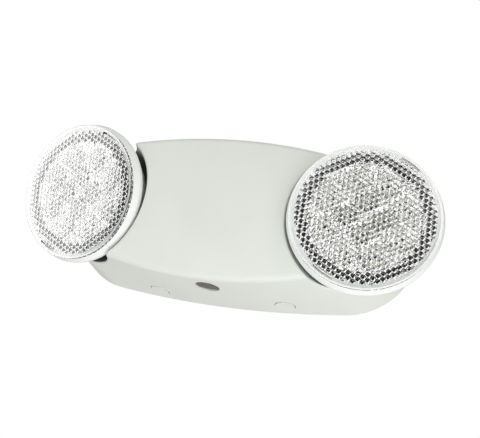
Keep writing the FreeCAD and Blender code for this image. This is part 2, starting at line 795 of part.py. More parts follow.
def arc_slot(angle, near, far):
    """Curved slot of a lens slit, its middle at an angle seen from the front, from near to far behind."""
    at = []
    for r in (slit_radius - slit_width / 2, slit_radius + slit_width / 2):
        for t in (angle - slit_span_angle / 2, angle, angle + slit_span_angle / 2):
            t = math.radians(t)
            at.append((r * math.cos(t), -near, r * math.sin(t)))
    edges = [arc(at[0], at[1], at[2]), Part.LineSegment(V(*at[2]), V(*at[5])).toShape(),
             arc(at[5], at[4], at[3]), Part.LineSegment(V(*at[3]), V(*at[0])).toShape()]
    return Part.Face(Part.Wire(edges)).extrude(V(0, near - far, 0))


def reflector():
    """Faceted reflector: a plate with a scalloped edge and round cups down to the light sources."""
    back = board_front + led_high + 0.15
    deep = reflector_front - back
    cups, holes = [], []
    for n, ring, r, first in ((outer_cups, outer_cup_circle, outer_cup_radius, outer_cup_angle),
                              (inner_cups, inner_cup_circle, inner_cup_radius, inner_cup_angle)):
        for i in range(n):
            t = math.radians(first + 360.0 / n * i)
            x, z = ring * math.cos(t), ring * math.sin(t)
            cups.append(Part.makeCone(r + reflector_wall, cup_foot_radius + reflector_wall, deep,
                                      V(x, -reflector_front, z), V(0, 1, 0)))
            holes.append(Part.makeCone(r, cup_foot_radius, deep, V(x, -reflector_front, z), V(0, 1, 0)))
    body = Part.makeCylinder(outer_cup_circle, reflector_wall, V(0, -reflector_front, 0), V(0, 1, 0))
    for i in range(outer_cups):
        t = math.radians(outer_cup_angle + 360.0 / outer_cups * i)
        x, z = outer_cup_circle * math.cos(t), outer_cup_circle * math.sin(t)
        body = body.fuse(Part.makeCylinder(outer_cup_radius + reflector_margin, reflector_wall,
                                           V(x, -reflector_front, z), V(0, 1, 0)))
    for c in cups:
        body = body.fuse(c)
    for h in holes:
        body = body.cut(h)
    return body.removeSplitter()


def led_board():
    """Round board that carries the light sources."""
    b = Part.makeCylinder(board_radius, board_thick, V(0, -board_front, 0), V(0, 1, 0))
    return b


def leds():
    """Square light sources under the cups."""
    out = []
    h = led_size / 2
    for n, ring, first in ((outer_cups, outer_cup_circle, outer_cup_angle), (inner_cups, inner_cup_circle, inner_cup_angle)):
        for i in range(n):
            t = math.radians(first + 360.0 / n * i)
            x, z = ring * math.cos(t), ring * math.sin(t)
            out.append(box(x - h, x + h, -board_front - led_high, -board_front, z - h, z + h))
    return out


def board_screws():
    """Screws that hold the board on its posts."""
    out = []
    for i in range(4):
        t = math.radians(post_angle + 90 * i)
        out.append(cyl(screw_head_radius, (post_circle * math.cos(t), -board_front, post_circle * math.sin(t)),
                       (0, -1, 0), screw_head_high))
    return out


def saddle(turn):
    """Spherical saddle inside the ball, with a tongue in the slot and a hole for the stem."""
    cap = Part.makeSphere(saddle_outer).cut(Part.makeSphere(saddle_inner))
    cap = cap.common(cyl(saddle_radius, (0, 0, 0), (0, 1, 0), ball_radius))
    tongue = slot_block(turn, tongue_half_width, -tongue_half_length, tongue_half_length, 0, ball_radius + 2)
    tongue = tongue.cut(Part.makeSphere(saddle_inner)).common(Part.makeSphere(ball_radius - 0.2))
    part = cap.fuse(tongue)
    part = part.cut(cyl(stem_radius + running_gap, (0, 0, 0), (0, 1, 0), ball_radius + 2))
    return part.removeSplitter()


def stem():
    """Hollow threaded stem fixed in the socket's pole."""
    start = stem_front
    end = head_depth - nut_face_depth + nut_high + thread_end
    t = cyl(stem_radius, (0, start, 0), (0, 1, 0), end - start)
    return t.cut(cyl(stem_bore, (0, start - 1, 0), (0, 1, 0), end - start + 2))


def spring_washers():
    """Pair of conical spring washers, rim to rim, between the saddle and the nut."""
    r0, r1 = stem_radius + washer_gap, spring_outer
    low = -math.sqrt(saddle_inner ** 2 - r0 ** 2) + 0.01
    high = -(stem_front + thread_end + nut_high)
    mid = (low + high) / 2
    s = spring_sheet
    lower = revolve([(r0, low), (r1, mid - s), (r1, mid), (r0, low + s)])
    upper = revolve([(r0, high), (r0, high - s), (r1, mid), (r1, mid + s)])
    return Part.makeCompound([lower, upper])


def inner_nut():
    """Nut that preloads the spring washers."""
    return hexagon(nut_flats, (0, stem_front + thread_end, 0), (0, 1, 0), nut_high, stem_radius + 0.02)


def outer_nut():
    """Nut behind the socket."""
    return hexagon(nut_flats, (0, head_depth - nut_face_depth, 0), (0, 1, 0), nut_high, stem_radius + 0.02)


def save(name, shape):
    """Write one node; lists of solids are kept together as one compound."""
    if isinstance(shape, list):
        shape = Part.makeCompound(shape)
    shape.exportStep(os.path.join("parts", name + ".step"))


def main():
    os.makedirs("parts", exist_ok=True)
    save("front_cover", front_cover())
    save("back_plate", back_plate())
    save("battery_pack", battery_pack())
    save("battery_strap", battery_strap())
    save("strap_screws", strap_screws())
    save("circuit_board", circuit_board())
    save("board_parts", board_parts())
    save("terminal_block", terminal_block())
    save("terminal_screws", terminal_screws())
    save("transformer_core", transformer_core())
    save("transformer_winding", transformer_winding())
    save("battery_leads", battery_leads())
    save("test_switch", test_switch())
    save("indicator_led", indicator_led())
    save("test_button", test_button())
    save("button_spring", button_spring())
    for name, side, tilt, turn in (("left", -1, left_tilt_angle, left_turn_angle),
                                   ("right", 1, right_tilt_angle, right_turn_angle)):
        for node, shape in (("head", head_housing(turn)), ("lens", lens()), ("reflector", reflector()),
                            ("led_board", led_board()), ("leds", Part.makeCompound(leds())),
                            ("board_screws", Part.makeCompound(board_screws()))):
            save(name + "_" + node, place_head(shape, tilt, turn, side))
        for node, shape in (("saddle", saddle(turn)), ("stem", stem()), ("spring_washer", spring_washers()),
                            ("inner_nut", inner_nut()), ("outer_nut", outer_nut())):
            save(name + "_" + node, place_head(shape, 0, turn, side))


main()
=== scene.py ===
import json
import math

import bmesh
import bpy
from bpy.props import FloatProperty, FloatVectorProperty, PointerProperty
from mathutils import Matrix, Vector


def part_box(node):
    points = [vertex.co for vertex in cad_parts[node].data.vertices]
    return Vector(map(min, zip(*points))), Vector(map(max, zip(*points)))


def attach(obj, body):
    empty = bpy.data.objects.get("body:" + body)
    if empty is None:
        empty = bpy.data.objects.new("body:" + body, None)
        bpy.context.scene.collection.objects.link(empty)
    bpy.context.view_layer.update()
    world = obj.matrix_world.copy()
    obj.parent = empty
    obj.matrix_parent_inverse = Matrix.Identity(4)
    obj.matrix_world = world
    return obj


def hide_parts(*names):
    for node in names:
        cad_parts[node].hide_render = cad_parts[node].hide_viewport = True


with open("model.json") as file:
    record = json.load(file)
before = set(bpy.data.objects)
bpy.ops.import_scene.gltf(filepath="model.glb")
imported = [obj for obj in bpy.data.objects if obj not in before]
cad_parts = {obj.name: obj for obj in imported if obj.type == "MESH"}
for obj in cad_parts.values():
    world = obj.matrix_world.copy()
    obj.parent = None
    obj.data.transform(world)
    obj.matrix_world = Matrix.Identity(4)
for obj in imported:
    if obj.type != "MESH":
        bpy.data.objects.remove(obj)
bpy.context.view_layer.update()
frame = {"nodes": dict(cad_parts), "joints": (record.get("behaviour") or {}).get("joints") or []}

bl_info = {
    "name": "Emergency Light Finish",
    "version": (1, 0, 0),
    "blender": (4, 5, 0),
    "location": "View3D > Sidebar > Emergency Light",
    "description": "Dresses the twin-head emergency light: lenses, light sources, threads and finishes",
    "category": "Object",
}

# The frame: the model's nodes and joints, and where the right head turns
NODES = frame["nodes"]
JOINTS = {joint["name"]: joint for joint in frame["joints"]}
HEAD_X, HEAD_Y, HEAD_Z = JOINTS["right_turn"]["pos_m"]
SIDES = ("left", "right")
FULL = 2 * math.pi

# A head's own frame has the lens toward -Y; a height w counts from the turning point toward the lens
BOARD_FRONT, DISH_FRONT, DISH_FLOOR = -0.0124, -0.0036, -0.01155

# Reflector: radius of a dish's foot, and radius and thickness of the round plate
DISH_FOOT, PLATE_RADIUS, PLATE_THICK = 0.0034, 0.0382, 0.0010

# Circles of light sources: count, radius, angle of the first in degrees, and radius of a dish's mouth
SOURCE_CIRCLES = ((8, 0.0270, 22.5, 0.0093), (4, 0.0115, 0.0, 0.0072))

# Height of a light source, and half its width
SOURCE_HIGH, SOURCE_HALF = 0.0007, 0.00175

# Rounded outlines: (radius, height from the top) of a phosphor dome, and shares of a pan head's size
DOME_PROFILE = ((0.00145, -0.0003), (0.00145, -0.00012), (0.0013, -0.00004), (0.0007, 0.0), (0.0, 0.0))
PAN_PROFILE = ((1.0, 0.45), (0.93, 0.75), (0.72, 0.95), (0.4, 1.0))

# Lens: middles and span of the snap slits, and turn of the rows of cells, in degrees
SLIT_MIDDLES, SLIT_SPAN, ROW_TURN = (60.0, 244.0), 18.0, 33.0

# Air over the head's seat and at the cells' flat ends, how far a cutting tool reaches past, and round steps
SEAT_AIR, CELL_AIR, PAST, ROUND_STEPS = 0.00006, 0.00002, 0.001, 180

# Clear plastic: what it lets through of each primary colour, and its index of refraction
CLEAR_TINT, CLEAR_IOR = (0.965, 0.97, 0.965), 1.49

# Painted shade in the sockets: where their inner faces begin to take it, by how squarely they face the head
# and by depth
SHADE_FACING_EDGE, SHADE_DEPTH_EDGE = (0.5, 0.85), (-0.058, -0.046)

# Lamps: setting that holds the power, place and width
LAMPS = (("key", (0.90, -0.85, 0.60), 0.8), ("low_right", (0.62, -0.62, -0.58), 0.7),
         ("high_left", (-0.60, -0.90, 0.85), 0.8), ("under", (0.10, -0.40, -1.00), 0.8))
LAMP_TARGET = (0, -0.03, 0)

# Camera: azimuth, elevation and roll in degrees, and the point it looks at
VIEW_ANGLES = (22.16, -18.298, 12.581)
VIEW_TARGET = (0.011088, -0.040, -0.000141)

# Studio: the ways toward the bright panel and the lit lower left, and where their edges begin and end
PANEL_WAY, PANEL_EDGE = (-0.866, -0.50, 0.0), (0.93, 0.972)
LIT_WAY, LIT_EDGE = (-0.65, -0.15, -0.75), (0.15, 0.5)
PATCH_SCALE, PATCH_EDGE = 4.0, (0.48, 0.52)


def linear(r, g, b):
    """Scene colour of an 8-bit screen colour."""
    return tuple(c / 255 / 12.92 if c <= 10 else ((c / 255 + 0.055) / 1.055) ** 2.4 for c in (r, g, b))


def length(name, description, default):
    """Length property in metres."""
    return FloatProperty(name=name, description=description, default=default, min=0, unit="LENGTH",
                         precision=5)


def colour(name, description, r, g, b):
    """Colour property from 8-bit screen values."""
    return FloatVectorProperty(name=name, description=description, default=linear(r, g, b), size=3, min=0,
                               max=1, subtype="COLOR")


def strength(name, description, default):
    """Property for the strength of a light."""
    return FloatProperty(name=name, description=description, default=default, min=0)


def share(name, description, default):
    """Property between nothing and all."""
    return FloatProperty(name=name, description=description, default=default, min=0, max=1,
                         subtype="FACTOR")


class PlasticFinish(bpy.types.PropertyGroup):
    """Finish of the moulded plastic parts."""
    housing: colour("Housing", "Colour of the housing cover", 221, 225, 217)
    # Painted shade: a dark colour laid on the sockets' inner faces where the heads shade them
    socket: colour("Sockets", "Colour of the sockets' shaded inner faces", 80, 82, 78)
    base: colour("Back plate", "Colour of the back plate", 222, 225, 218)
    head: colour("Lamp heads", "Colour of the ball-shaped heads", 240, 242, 239)
    button: colour("Button", "Colour of the smoked test button", 86, 75, 69)
    saddle: colour("Saddle", "Colour of the sliding saddles", 34, 34, 36)
    grain: length("Grain", "Size of the moulded grain", 0.0006)
    cloud: length("Cloud", "Size of the slow tone changes", 0.03)
    gloss: share("Roughness", "Roughness of the satin plastic", 0.42)


class LensSizes(bpy.types.PropertyGroup):
    """Sizes of the clear lens in a lamp head's own frame."""
    radius: length("Radius", "Outer radius of the lens", 0.0500)
    front: length("Front", "Height of the lens front above the turning point", 0.0022)
    thick: length("Thickness", "Thickness of the disc", 0.0020)
    edge: length("Edge", "Rounding of the front edge", 0.0008)
    skirt_radius: length("Skirt radius", "Outer radius of the skirt", 0.0481)
    skirt_wall: length("Skirt wall", "Wall of the skirt", 0.0016)
    skirt_deep: length("Skirt depth", "Depth of the skirt", 0.0030)
    pitch: length("Pitch", "Distance between two cells", 0.00362)
    window: length("Window radius", "Radius of a cell's flat end, which faces the reflector", 0.00095)
    cell_deep: length("Cell depth", "Depth of the grooves between the cells", 0.00090)
    field: length("Field radius", "Radius of the patterned field", 0.0463)
    slit_radius: length("Slit radius", "Radius of the two snap slits", 0.0469)
    slit_width: length("Slit width", "Width of a snap slit", 0.0018)


class OpticsFinish(bpy.types.PropertyGroup):
    """Finish of what lies behind the lens."""
    silver: colour("Reflector", "Colour of the metallised reflector", 238, 238, 235)
    dint: length("Dint", "Size of the small dints in the reflector", 0.0022)
    dint_deep: length("Dint depth", "Depth of a dint", 0.00022)
    phosphor: colour("Phosphor", "Colour of the light sources' phosphor", 206, 190, 92)
    ceramic: colour("Package", "Colour of the light sources' frames", 225, 223, 214)
    mask: colour("Lamp board", "Colour of the lamp board's solder mask", 36, 25, 28)


class StageSettings(bpy.types.PropertyGroup):
    """Camera, lamps, floor and backdrop."""
    distance: length("Distance", "Distance of the camera from its target", 0.66681)
    lens: FloatProperty(name="Lens", description="Focal length on a 36 mm wide sensor, in millimetres",
                        default=70.2)
    floor_drop: length("Floor", "Drop of the floor below the housing's middle", 1.2)
    floor_size: length("Floor size", "Width of the floor", 4.0)
    floor: colour("Floor colour", "Colour of the floor", 236, 236, 236)
    ambient: strength("Ambient", "Strength of the soft light from all round", 0.56)
    gloss: strength("Gloss", "Strength of what the glossy surfaces reflect", 0.3)
    panel: strength("Panel", "Strength of the bright panel on the left in gloss", 5.4)
    through: strength("Through", "Strength of the lit studio, seen through clear plastic", 1.48)
    dim: strength("Dim", "Strength of the studio's dim parts, seen the same way", 0.03)
    key: strength("Key", "Power of the key lamp, high on the right", 2.0)
    low_right: strength("Low right", "Power of the low lamp on the right", 4.4)
    high_left: strength("High left", "Power of the high lamp on the left", 3.7)
    under: strength("Under", "Power of the lamp below", 3.4)


# Node helpers and shared effects

def put(tree, kind, values=None, **facts):
    """Adds a node, sets its facts, and sets or links its inputs."""
    node = tree.nodes.new(kind)
    for key, value in facts.items():
        setattr(node, key, value)
    for key, value in (values or {}).items():
        feed(tree, node.inputs[key], value)
    return node


def feed(tree, socket, value):
    """Links an output to a socket, or sets its value."""
    if isinstance(value, bpy.types.NodeSocket):
        tree.links.new(value, socket)
    else:
        socket.default_value = (*value, 1.0) if socket.type == "RGBA" and len(value) == 3 else value


def effect(name, inputs, outputs):
    """New shader node group with named inputs and outputs."""
    tree = bpy.data.node_groups.new(name, "ShaderNodeTree")
    for label, kind, default in inputs:
        socket = tree.interface.new_socket(label, in_out="INPUT", socket_type="NodeSocket" + kind)
        if default is not None:
            socket.default_value = default
    for label, kind in outputs:
        tree.interface.new_socket(label, in_out="OUTPUT", socket_type="NodeSocket" + kind)
    return tree, tree.nodes.new("NodeGroupInput").outputs, tree.nodes.new("NodeGroupOutput").inputs


def surface_effect(name, inputs):
    """New effect with two tones, that puts out a colour, a roughness and a height."""
    return effect(name, [("Light Tone", "Color", None), ("Dark Tone", "Color", None), *inputs],
                  [("Color", "Color"), ("Roughness", "Float"), ("Height", "Float")])


def noise(tree, vector, scale, detail=2.0, rough=0.5):
    """Value of a noise texture."""
    return put(tree, "ShaderNodeTexNoise", {"Vector": vector, "Scale": scale, "Detail": detail,
                                            "Roughness": rough}).outputs["Fac"]


def spots(tree, vector, scale, randomness, feature="F1"):
    """Distance to the nearest of the scattered points, or to the edge between two of them."""
    return put(tree, "ShaderNodeTexVoronoi", {"Vector": vector, "Scale": scale, "Randomness": randomness},
               feature=feature, voronoi_dimensions="3D").outputs["Distance"]


def math_node(tree, operation, a, b=0.0):
    """Value of a maths node."""
    return put(tree, "ShaderNodeMath", {0: a, 1: b}, operation=operation).outputs[0]


def along(tree, vector, way):
    """How far a vector reaches along a direction."""
    return put(tree, "ShaderNodeVectorMath", {0: vector, 1: way}, operation="DOT_PRODUCT").outputs["Value"]


def scaled(tree, vector, by):
    """Vector multiplied axis by axis."""
    return put(tree, "ShaderNodeVectorMath", {0: vector, 1: by}, operation="MULTIPLY").outputs[0]


def spread(tree, value, low, high, to_low=0.0, to_high=1.0):
    """Value moved from one range to another."""
    return put(tree, "ShaderNodeMapRange", {"Value": value, "From Min": low, "From Max": high,
                                            "To Min": to_low, "To Max": to_high}).outputs[0]


def from_noise(tree, value, to_low=0.0, to_high=1.0):
    """A noise's usual range moved to another range."""
    return spread(tree, value, 0.3, 0.7, to_low, to_high)


def blend_colours(tree, factor, a, b):
    """Colour between two."""
    node = put(tree, "ShaderNodeMix", data_type="RGBA")
    feed(tree, node.inputs[0], factor)
    feed(tree, node.inputs[6], a)
    feed(tree, node.inputs[7], b)
    return node.outputs[2]


def between(tree, value, given):
    """Colour between an effect's two tones."""
    return blend_colours(tree, from_noise(tree, value), given["Dark Tone"], given["Light Tone"])


def put_out(tree, out, *values):
    """Links values to a group's outputs in order."""
    for socket, value in zip(out, values):
        tree.links.new(value, socket)


def moulded_effect():
    """Moulded plastic: slow tone changes, fine grain, and a roughness that follows them."""
    tree, given, out = surface_effect("Moulded Surface",
                                      [("Cloud Scale", "Float", 30.0), ("Grain Scale", "Float", 1500.0),
                                       ("Smooth", "Float", 0.35), ("Rough", "Float", 0.5)])
    at = put(tree, "ShaderNodeTexCoord").outputs["Object"]
    cloud = noise(tree, at, given["Cloud Scale"], 3.0)
    grain = noise(tree, at, given["Grain Scale"], 1.0)
    mixed = math_node(tree, "ADD", math_node(tree, "MULTIPLY", cloud, 0.6),
                      math_node(tree, "MULTIPLY", grain, 0.4))
    rough = from_noise(tree, mixed, given["Smooth"], given["Rough"])
    put_out(tree, out, between(tree, cloud, given), rough, grain)
    return tree


def plated_effect():
    """Plated or rolled metal: streaks along one axis and slightly uneven tone."""
    tree, given, out = surface_effect("Plated Metal",
                                      [("Streak", "Vector", (1.0, 1.0, 1.0)), ("Scale", "Float", 400.0),
                                       ("Smooth", "Float", 0.2), ("Rough", "Float", 0.4)])
    at = put(tree, "ShaderNodeTexCoord").outputs["Object"]
    streaks = noise(tree, scaled(tree, at, given["Streak"]), given["Scale"], 3.0, 0.6)
    patches = noise(tree, at, 60.0, 2.0)
    rough = from_noise(tree, streaks, given["Smooth"], given["Rough"])
    put_out(tree, out, between(tree, patches, given), rough, streaks)
    return tree


def traced_effect():
    """Circuit board: solder mask over tracks, with a few bare pads."""
    tree, given, out = effect("Tracked Board",
                              [("Mask", "Color", None), ("Track", "Color", None), ("Pad", "Color", None),
                               ("Scale", "Float", 160.0)],
                              [("Color", "Color"), ("Roughness", "Float"), ("Height", "Float")])
    at = put(tree, "ShaderNodeTexCoord").outputs["Object"]
    track = spread(tree, spots(tree, at, given["Scale"], 0.65, "DISTANCE_TO_EDGE"), 0.06, 0.09)
    pad = spread(tree, spots(tree, at, given["Scale"], 0.65), 0.14, 0.16)
    body = blend_colours(tree, track, given["Track"], given["Mask"])
    rough = spread(tree, pad, 0.0, 1.0, 0.25, 0.4)
    put_out(tree, out, blend_colours(tree, pad, given["Pad"], body), rough, track)
    return tree


def wrinkled_effect():
    """Thin film or tape pulled tight: long shallow wrinkles."""
    tree, given, out = surface_effect("Tight Film",
                                      [("Stretch", "Vector", (1.0, 1.0, 1.0)), ("Scale", "Float", 90.0)])
    at = put(tree, "ShaderNodeTexCoord").outputs["Object"]
    folds = noise(tree, scaled(tree, at, given["Stretch"]), given["Scale"], 2.5, 0.55)
    put_out(tree, out, between(tree, folds, given), from_noise(tree, folds, 0.18, 0.36), folds)
    return tree


def peened_effect():
    """Metallised plastic moulded with small round dints that overlap."""
    tree, given, out = surface_effect("Peened Mirror",
                                      [("Scale", "Float", 500.0), ("Smooth", "Float", 0.03),
                                       ("Rough", "Float", 0.12)])
    at = put(tree, "ShaderNodeTexCoord").outputs["Object"]
    dints = spots(tree, at, given["Scale"], 0.8)
    patches = noise(tree, at, 90.0, 2.0)
    rough = from_noise(tree, patches, given["Smooth"], given["Rough"])
    put_out(tree, out, between(tree, patches, given), rough, math_node(tree, "MULTIPLY", dints, dints))
    return tree


def painted_socket_shade_effect():
    """Mask of the painted shade on the two round sockets' inner faces, which look at the middle of their
    lamp head.
    """
    tree, given, out = effect("Socket Mask", [("Reach", "Float", 0.064)], [("Mask", "Float")])
    coords = put(tree, "ShaderNodeTexCoord").outputs
    at = put(tree, "ShaderNodeSeparateXYZ", {0: coords["Object"]}).outputs
    facing = put(tree, "ShaderNodeSeparateXYZ", {0: coords["Normal"]}).outputs
    toward = put(tree, "ShaderNodeCombineXYZ",
                 {0: math_node(tree, "SUBTRACT", HEAD_X, math_node(tree, "ABSOLUTE", at[0])),
                  1: math_node(tree, "SUBTRACT", HEAD_Y, at[1]),
                  2: math_node(tree, "SUBTRACT", HEAD_Z, at[2])}).outputs[0]
    normal = put(tree, "ShaderNodeCombineXYZ",
                 {0: math_node(tree, "MULTIPLY", facing[0], math_node(tree, "SIGN", at[0])), 1: facing[1],
                  2: facing[2]}).outputs[0]
    far = put(tree, "ShaderNodeVectorMath", {0: toward}, operation="LENGTH").outputs["Value"]
    straight = put(tree, "ShaderNodeVectorMath", {0: toward}, operation="NORMALIZE").outputs[0]
    faces_it = spread(tree, along(tree, straight, normal), *SHADE_FACING_EDGE)
    deep_enough = spread(tree, at[1], *SHADE_DEPTH_EDGE)
    near_enough = math_node(tree, "LESS_THAN", far, given["Reach"])
    inside = math_node(tree, "MULTIPLY", faces_it, deep_enough)
    put_out(tree, out, math_node(tree, "MULTIPLY", inside, near_enough))
    return tree


EFFECTS = {}


def material(name, recipe, values, bump=0.0, height=0.0001, **sockets):
    """Material with a Principled shader, fed by one shared effect; sockets are the shader's own values."""
    made = bpy.data.materials.new(name)
    made.use_nodes = True
    tree = made.node_tree
    shader = tree.nodes["Principled BSDF"]
    if recipe not in EFFECTS:
        EFFECTS[recipe] = recipe()
    found = tree.nodes.new("ShaderNodeGroup")
    found.node_tree = EFFECTS[recipe]
    for key, value in values.items():
        feed(tree, found.inputs[key], value)
    tree.links.new(found.outputs["Color"], shader.inputs["Base Color"])
    tree.links.new(found.outputs["Roughness"], shader.inputs["Roughness"])
    if bump:
        bumped = put(tree, "ShaderNodeBump",
                     {"Strength": bump, "Distance": height, "Height": found.outputs["Height"]})
        tree.links.new(bumped.outputs[0], shader.inputs["Normal"])
    for key, value in sockets.items():
        shader.inputs[key.replace("_", " ")].default_value = value
    return made


def shade(tone, factor):
    """Same colour, lighter or darker."""
    return tuple(min(1.0, c * factor) for c in tone)


def tones(tone, change):
    """The two tones of a surface: the colour itself and a darker one."""
    return {"Light Tone": tuple(tone), "Dark Tone": shade(tone, change)}


def moulded(name, tone, finish, rough=None, bump=0.12, change=0.97, **sockets):
    """Moulded plastic in one colour."""
    rough = finish.gloss if rough is None else rough
    return material(name, moulded_effect,
                    {**tones(tone, change), "Cloud Scale": 1 / finish.cloud, "Grain Scale": 1 / finish.grain,
                     "Smooth": rough - 0.05, "Rough": rough + 0.06}, bump, 0.00003, **sockets)


def plated(name, tone, streak=(1.0, 1.0, 1.0), scale=400.0, smooth=0.2, rough=0.38, bump=0.1):
    """Metal in one colour with streaks."""
    return material(name, plated_effect,
                    {**tones(tone, 0.86), "Streak": streak, "Scale": scale, "Smooth": smooth,
                     "Rough": rough}, bump, 0.00002, Metallic=1.0)


def film(name, tone, stretch, scale, bump=0.4):
    """Tight film or tape in one colour."""
    return material(name, wrinkled_effect, {**tones(tone, 0.8), "Stretch": stretch, "Scale": scale},
                    bump, 0.0002)


def board(name, mask, track_change, pad, scale, **sockets):
    """Circuit board in one colour."""
    return material(name, traced_effect,
                    {"Mask": mask, "Track": shade(mask, track_change), "Pad": pad, "Scale": scale},
                    0.3, 0.00003, **sockets)


def clear_plastic(name):
    """Clear plastic that lets lamp light and scattered light straight through to what is behind it."""
    made = bpy.data.materials.new(name)
    made.use_nodes = True
    tree = made.node_tree
    shader = tree.nodes["Principled BSDF"]
    shader.inputs["Transmission Weight"].default_value = 1.0
    shader.inputs["IOR"].default_value = CLEAR_IOR
    at = put(tree, "ShaderNodeTexCoord").outputs["Object"]
    cloud = noise(tree, at, 40.0, 2.0)
    tone = blend_colours(tree, cloud, shade(CLEAR_TINT, 0.985), CLEAR_TINT)
    tree.links.new(tone, shader.inputs["Base Color"])
    tree.links.new(from_noise(tree, cloud, 0.0, 0.015), shader.inputs["Roughness"])
    path = put(tree, "ShaderNodeLightPath").outputs
    soft = math_node(tree, "MAXIMUM", path["Is Shadow Ray"], path["Is Diffuse Ray"])
    let_through = 0.96
    seen = math_node(tree, "SUBTRACT", 1.0, math_node(tree, "MULTIPLY", soft, let_through))
    tree.links.new(seen, shader.inputs["Alpha"])
    return made


def dress(made, *names):
    """Gives CAD nodes a material."""
    for name in names:
        mesh = NODES[name].data
        mesh.materials.clear()
        mesh.materials.append(made)
        for face in mesh.polygons:
            face.material_index = 0


# Mesh helpers

def head_matrix(side):
    """Matrix from a head's own frame to its stored aim; at the tilt's lower limit the lens faces -Y."""
    tilt = JOINTS[side + "_tilt"]
    # The frame's axis has six digits, so its angle goes back to the hundredths of a degree it was set in
    turn = math.radians(round(math.degrees(math.atan2(-tilt["axis"][0], tilt["axis"][2])), 2))
    axis = Vector((math.sin(turn), 0, -math.cos(turn)))
    stored = math.radians(tilt["range_deg"][0])
    return Matrix.Translation(tilt["pos_m"]) @ Matrix.Rotation(stored, 4, axis)


def ring(bm, radius, w, steps, centre=(0.0, 0.0)):
    """Ring of vertices at a height w, or a single vertex where the radius is nothing."""
    if radius < 1e-7:
        return [bm.verts.new((centre[0], -w, centre[1]))]
    return [bm.verts.new((centre[0] + radius * math.cos(FULL * i / steps), -w,
                          centre[1] + radius * math.sin(FULL * i / steps))) for i in range(steps)]


def join_rings(bm, a, b):
    """Faces between two rings."""
    steps = max(len(a), len(b))
    for i in range(steps):
        j = (i + 1) % steps
        if len(a) == 1:
            bm.faces.new((a[0], b[i], b[j]))
        elif len(b) == 1:
            bm.faces.new((a[i], b[0], a[j]))
        else:
            bm.faces.new((a[i], b[i], b[j], a[j]))


def lathe(bm, profile, steps, centre=(0.0, 0.0)):
    """Surface of revolution from (radius, w) points."""
    rings = [ring(bm, r, w, steps, centre) for r, w in profile]
    for a, b in zip(rings, rings[1:]):
        join_rings(bm, a, b)


def disc(name, radius, low, high, steps):
    """Round plate between two heights."""
    bm = bmesh.new()
    lathe(bm, [(0, low), (radius, low), (radius, high), (0, high)], steps)
    return finish_mesh(name, bm)


def block(bm, lo, hi, bevel):
    """Box between two corners with bevelled edges."""
    made = bmesh.ops.create_cube(bm, size=1.0)["verts"]
    size, middle = Vector(hi) - Vector(lo), (Vector(hi) + Vector(lo)) / 2
    for v in made:
        v.co = Vector(c * s for c, s in zip(v.co, size)) + middle
    edges = list({e for v in made for e in v.link_edges})
    bmesh.ops.bevel(bm, geom=edges, offset=bevel, segments=2, affect="EDGES")


def finish_mesh(name, bm, sharp=35.0, matrix=None):
    """Mesh from a bmesh: normals outward, smooth with sharp edges."""
    bmesh.ops.recalc_face_normals(bm, faces=bm.faces)
    mesh = bpy.data.meshes.new(name)
    bm.to_mesh(mesh)
    bm.free()
    if matrix is not None:
        mesh.transform(matrix)
    smooth(mesh, sharp)
    return mesh


def smooth(mesh, sharp):
    """Smooth shading with sharp edges past an angle."""
    mesh.shade_smooth()
    mesh.set_sharp_from_angle(angle=math.radians(sharp))


def cut(name, base, tools, sharp=35.0, mode="DIFFERENCE"):
    """Mesh of the base with each tool mesh taken away, joined on, or kept only where both are."""
    body = bpy.data.objects.new(name, base)
    bpy.context.scene.collection.objects.link(body)
    helpers = []
    for i, tool in enumerate(tools):
        helper = bpy.data.objects.new(f"{name}_tool_{i}", tool)
        bpy.context.scene.collection.objects.link(helper)
        helpers.append(helper)
        step = body.modifiers.new(f"Cut{i}", "BOOLEAN")
        step.operation, step.solver, step.object = mode, "MANIFOLD", helper
    before = len(base.vertices)
    shown = body.evaluated_get(bpy.context.evaluated_depsgraph_get())
    made = bpy.data.meshes.new_from_object(shown)
    for o in (body, *helpers):
        bpy.data.objects.remove(o)
    smooth(made, sharp)
    if len(made.vertices) in (0, before):
        raise RuntimeError(f"{name}: the cut failed")
    return made


def piece(name, mesh, body, made, slot, *stands_for):
    """Object that rides on a body, takes its finish from the given materials, and stands for CAD nodes; the
    slot is not used.
    """
    mesh.materials.clear()
    for each in made:
        mesh.materials.append(each)
    mesh.name = name
    shown = bpy.data.objects.new(name, mesh)
    bpy.context.scene.collection.objects.link(shown)
    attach(shown, body)
    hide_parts(*stands_for)


# Pieces

def lens_mesh(sizes):
    """Clear disc with a rounded edge and a skirt, six-sided cells moulded inside, and two slits."""
    back = sizes.front - sizes.thick
    seat, foot = back + SEAT_AIR, back - sizes.skirt_deep
    inner = sizes.skirt_radius - sizes.skirt_wall
    bend = [(sizes.radius - sizes.edge * (1 - math.sin(t)), sizes.front - sizes.edge * (1 - math.cos(t)))
            for t in (math.radians(a) for a in (0, 22.5, 45, 67.5, 90))]
    profile = [(0, sizes.front), *bend, (sizes.radius, seat), (sizes.skirt_radius, seat),
               (sizes.skirt_radius, foot), (inner, foot), (inner, back), (0, back)]
    bm = bmesh.new()
    lathe(bm, profile, ROUND_STEPS)
    base = finish_mesh("lens_base", bm)
    bm = bmesh.new()
    for middle in SLIT_MIDDLES:
        arc_block(bm, sizes.slit_radius, sizes.slit_width, math.radians(middle), math.radians(SLIT_SPAN),
                  foot - PAST, sizes.front + PAST)
    return cut("lens", base, [cell_field(sizes, back), finish_mesh("slits", bm)])


